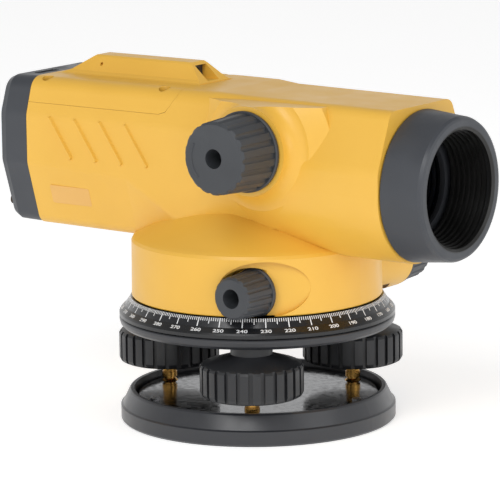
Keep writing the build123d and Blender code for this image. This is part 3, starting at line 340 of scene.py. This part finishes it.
def graduation():
    """White degree marks on the sloping scale: short, medium every 5, long every 10."""
    marks = bmesh.new()
    slope = hypot(*SCALE_RISE)
    for degree in range(360):
        if degree % 10 == 0:
            reach, width = LONG_MARK
        elif degree % 5 == 0:
            reach, width = MIDDLE_MARK
        else:
            reach, width = SHORT_MARK
        start = 1 - reach
        radius = SCALE_FOOT[0] + SCALE_RISE[0] * start
        height = SCALE_FOOT[1] + SCALE_RISE[1] * start
        place = on_cone(dial_angle(degree), radius, height, SCALE_RISE)
        slab(marks, place, width, slope * (reach - MARK_MARGIN), INK)
    piece("circle_degree_marks", marks, WHITE_INK, "circle")


def numerals():
    """White numbers every ten degrees on the band below the scale, clockwise from above."""
    lettering = bmesh.new()
    radius = (SCALE_FOOT[0] + BAND_FOOT[0]) / 2
    height = (SCALE_FOOT[1] + BAND_FOOT[1]) / 2
    shaped = Matrix.Translation((0, -NUMERAL_DROP, 0)) @ Matrix.Diagonal((*NUMERAL_STRETCH, 1, 1))
    for degree in range(0, 360, 10):
        curve = bpy.data.curves.new("numeral", "FONT")
        curve.body = str(degree)
        curve.size = NUMERAL_HEIGHT
        curve.align_x = "CENTER"
        curve.align_y = "CENTER"
        curve.extrude = INK
        curve.offset = NUMERAL_BOLDNESS
        holder = bpy.data.objects.new("numeral", curve)
        bpy.context.scene.collection.objects.link(holder)
        bpy.context.view_layer.update()
        evaluated = holder.evaluated_get(bpy.context.evaluated_depsgraph_get())
        mesh = bpy.data.meshes.new_from_object(evaluated)
        mesh.transform(on_cone(dial_angle(degree), radius, height, BAND_RISE) @ shaped)
        lettering.from_mesh(mesh)
        bpy.data.objects.remove(holder)
        bpy.data.meshes.remove(mesh)
        bpy.data.curves.remove(curve)
    piece("circle_numerals", lettering, WHITE_INK, "circle")


graduation()
numerals()


# ---- circular level -----------------------------------------------------------------

def ring(mesh_data, centre, inner, outer, height, segments=64):
    """Adds a flat ring with a thickness, lying in the horizontal plane."""
    profile = ((inner, 0), (outer, 0), (outer, height), (inner, height))
    rows = []
    for step in range(segments):
        angle = 2 * pi * step / segments
        rows.append([
            mesh_data.verts.new(centre + Vector((radius * cos(angle), radius * sin(angle), z)))
            for radius, z in profile
        ])
    for step in range(segments):
        here, there = rows[step], rows[(step + 1) % segments]
        for corner in range(4):
            after = (corner + 1) % 4
            mesh_data.faces.new((here[corner], there[corner], there[after], here[after]))


BULLSEYE_R = (2.5 * MM, 2.8 * MM)
BUBBLE_R = 2.1 * MM
BUBBLE_FLATNESS = 0.12


def level_details():
    """Bull's-eye circle and bubble of the circular level."""
    low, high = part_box("level_vial")
    centre = Vector(((low[0] + high[0]) / 2, (low[1] + high[1]) / 2, high[2]))
    marks = bmesh.new()
    ring(marks, centre, *BULLSEYE_R, INK)
    piece("level_bullseye", marks, BLACK_INK, "alidade")
    bubble = bmesh.new()
    bmesh.ops.create_uvsphere(bubble, u_segments=40, v_segments=20, radius=BUBBLE_R)
    flattened = Matrix.Translation(centre) @ Matrix.Diagonal((1, 1, BUBBLE_FLATNESS, 1))
    bmesh.ops.transform(bubble, matrix=flattened, verts=bubble.verts)
    for face in bubble.faces:
        face.smooth = True
    piece("level_bubble", bubble, BUBBLE_LOOK, "alidade")


level_details()


# ---- marks on the focusing knob and the reticle -------------------------------------

ARC_R = 10.2 * MM
ARC_WIDTH = 0.7 * MM
ARC_HEIGHT = 0.3 * MM
ARC_SPAN = (150, 226)              # degrees, seen from the right side
LINE_WIDTH = 0.05 * MM
LINE_THICKNESS = 0.01 * MM
DISTANCE_LINE_OFFSET = 2.4 * MM    # of the two short lines, above and below the sight line
DISTANCE_LINE_HALF = 1.2 * MM


def arc_rib(mesh_data, place, radius, width, height, span, steps=48):
    """Adds a rounded rib along an arc, in the xy plane of the given frame."""
    start, end = span
    profile = ((-0.5, -0.3), (-0.5, 0.4), (-0.25, 0.9), (0.25, 0.9), (0.5, 0.4), (0.5, -0.3))
    rows = []
    for step in range(steps + 1):
        angle = radians(start + (end - start) * step / steps)
        row = []
        for across, up in profile:
            reach = radius + across * width
            spot = Vector((reach * cos(angle), reach * sin(angle), up * height))
            row.append(mesh_data.verts.new(place @ spot))
        rows.append(row)
    for here, there in zip(rows, rows[1:]):
        for corner in range(len(profile)):
            after = (corner + 1) % len(profile)
            mesh_data.faces.new((here[corner], there[corner], there[after], here[after]))
    mesh_data.faces.new(rows[0][::-1])
    mesh_data.faces.new(rows[-1])


def focus_mark():
    """Raised arc on the face of the focusing knob."""
    low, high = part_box("focus_knob")
    centre = Vector(((low[0] + high[0]) / 2, low[1], (low[2] + high[2]) / 2))
    facing = Matrix(((1, 0, 0), (0, 0, -1), (0, 1, 0))).to_4x4()
    mark = bmesh.new()
    arc_rib(mark, Matrix.Translation(centre) @ facing, ARC_R, ARC_WIDTH, ARC_HEIGHT, ARC_SPAN)
    piece("focus_direction_arc", mark, LOOKS["knob_rubber"], "focus_drive")


def reticle_lines():
    """Cross and two short distance lines on the reticle glass."""
    low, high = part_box("reticle_glass")
    reach = (high[2] - low[2]) * 0.45
    across_sight = Matrix(((0, 0, 1), (1, 0, 0), (0, 1, 0))).to_4x4()
    front = Matrix.Translation((high[0], 0, (low[2] + high[2]) / 2)) @ across_sight
    level = Matrix.Rotation(radians(90), 4, "Z")
    from_end = Matrix.Translation((0, -reach, 0))
    lines = bmesh.new()
    slab(lines, front @ from_end, LINE_WIDTH, 2 * reach, LINE_THICKNESS)
    slab(lines, front @ level @ from_end, LINE_WIDTH, 2 * reach, LINE_THICKNESS)
    for side in (-1, 1):
        place = Matrix.Translation((0, side * DISTANCE_LINE_OFFSET, 0)) @ level
        place = place @ Matrix.Translation((0, -DISTANCE_LINE_HALF, 0))
        slab(lines, front @ place, LINE_WIDTH, 2 * DISTANCE_LINE_HALF, LINE_THICKNESS)
    piece("reticle_lines", lines, BLACK_INK, "alidade")


focus_mark()
reticle_lines()


# ---- stage, light and camera --------------------------------------------------------

AZIMUTH = radians(36.19)
ELEVATION = radians(10.69)
ROLL = radians(-0.71)
DISTANCE = 1.39304
AIM_RIGHT = -2.57 * MM
AIM_HEIGHT = 65.48 * MM
LENS = 259.2


def view_frame():
    """The camera's right, up and backward directions."""
    back = Vector((sin(AZIMUTH) * cos(ELEVATION), -cos(AZIMUTH) * cos(ELEVATION), sin(ELEVATION)))
    right = Vector((cos(AZIMUTH), sin(AZIMUTH), 0))
    up = back.cross(right)
    return right * cos(ROLL) + up * sin(ROLL), up * cos(ROLL) - right * sin(ROLL), back


RIGHT, UP, BACK = view_frame()
AIM = RIGHT * AIM_RIGHT + Vector((0, 0, AIM_HEIGHT))


def camera():
    """Long-lens camera from the front right."""
    data = bpy.data.cameras.new("camera")
    data.lens = LENS
    data.sensor_width = 36
    data.clip_end = 20
    holder = bpy.data.objects.new("camera", data)
    facing = Matrix((RIGHT, UP, BACK)).transposed().to_4x4()
    holder.matrix_world = Matrix.Translation(AIM + BACK * DISTANCE) @ facing
    bpy.context.scene.collection.objects.link(holder)
    bpy.context.scene.camera = holder


def soft_box(name, sideways, upward, backward, size, power):
    """Square studio light aimed at the object; its place is given from the camera's side."""
    data = bpy.data.lights.new(name, "AREA")
    data.size = size
    data.energy = power
    holder = bpy.data.objects.new(name, data)
    place = AIM + RIGHT * sideways + Vector((0, 0, upward)) + BACK * backward
    holder.location = place
    holder.rotation_euler = (place - AIM).to_track_quat("Z", "Y").to_euler()
    bpy.context.scene.collection.objects.link(holder)


def floor():
    """Plain pale floor with a trace of unevenness and a faint glow, so that it stays white."""
    ground = bmesh.new()
    bmesh.ops.create_grid(ground, x_segments=8, y_segments=8, size=9.0)
    mesh = bpy.data.meshes.new("floor")
    ground.to_mesh(mesh)
    ground.free()
    look = Look("floor_paper", linear(240, 240, 240), 0.85, Specular_IOR_Level=0.1, Emission_Strength=0.5)
    look.shader.inputs["Emission Color"].default_value = (1, 1, 1, 1)
    look.tint(look.noise(3, 3), linear(236, 236, 236), 0.5)
    mesh.materials.append(look.material)
    thing = bpy.data.objects.new("floor", mesh)
    thing.location = (0, 0, cad_box[0][2])
    bpy.context.scene.collection.objects.link(thing)


SKY_FADE = (0.1, 0.6)        # sine of the height at which the studio starts and ends to dim


def surroundings(horizon, overhead):
    """White studio, bright at the horizon and dimmer overhead."""
    world = bpy.data.worlds.new("studio")
    world.use_nodes = True
    tree = world.node_tree
    direction = tree.nodes.new("ShaderNodeTexCoord")
    split = tree.nodes.new("ShaderNodeSeparateXYZ")
    fade = tree.nodes.new("ShaderNodeMapRange")
    fade.inputs["From Min"].default_value = SKY_FADE[0]
    fade.inputs["From Max"].default_value = SKY_FADE[1]
    fade.inputs["To Min"].default_value = horizon
    fade.inputs["To Max"].default_value = overhead
    tree.links.new(direction.outputs["Generated"], split.inputs["Vector"])
    tree.links.new(split.outputs["Z"], fade.inputs["Value"])
    tree.links.new(fade.outputs["Result"], tree.nodes["Background"].inputs["Strength"])
    tree.nodes["Background"].inputs["Color"].default_value = (1, 1, 1, 1)
    bpy.context.scene.world = world


floor()
surroundings(1.08, 0.35)
soft_box("key_light", -0.4, 0.8, 1.1, 0.8, 9)
soft_box("fill_light", 1.0, 0.3, 0.8, 0.8, 3)
camera()
bpy.context.scene.view_settings.view_transform = "Standard"
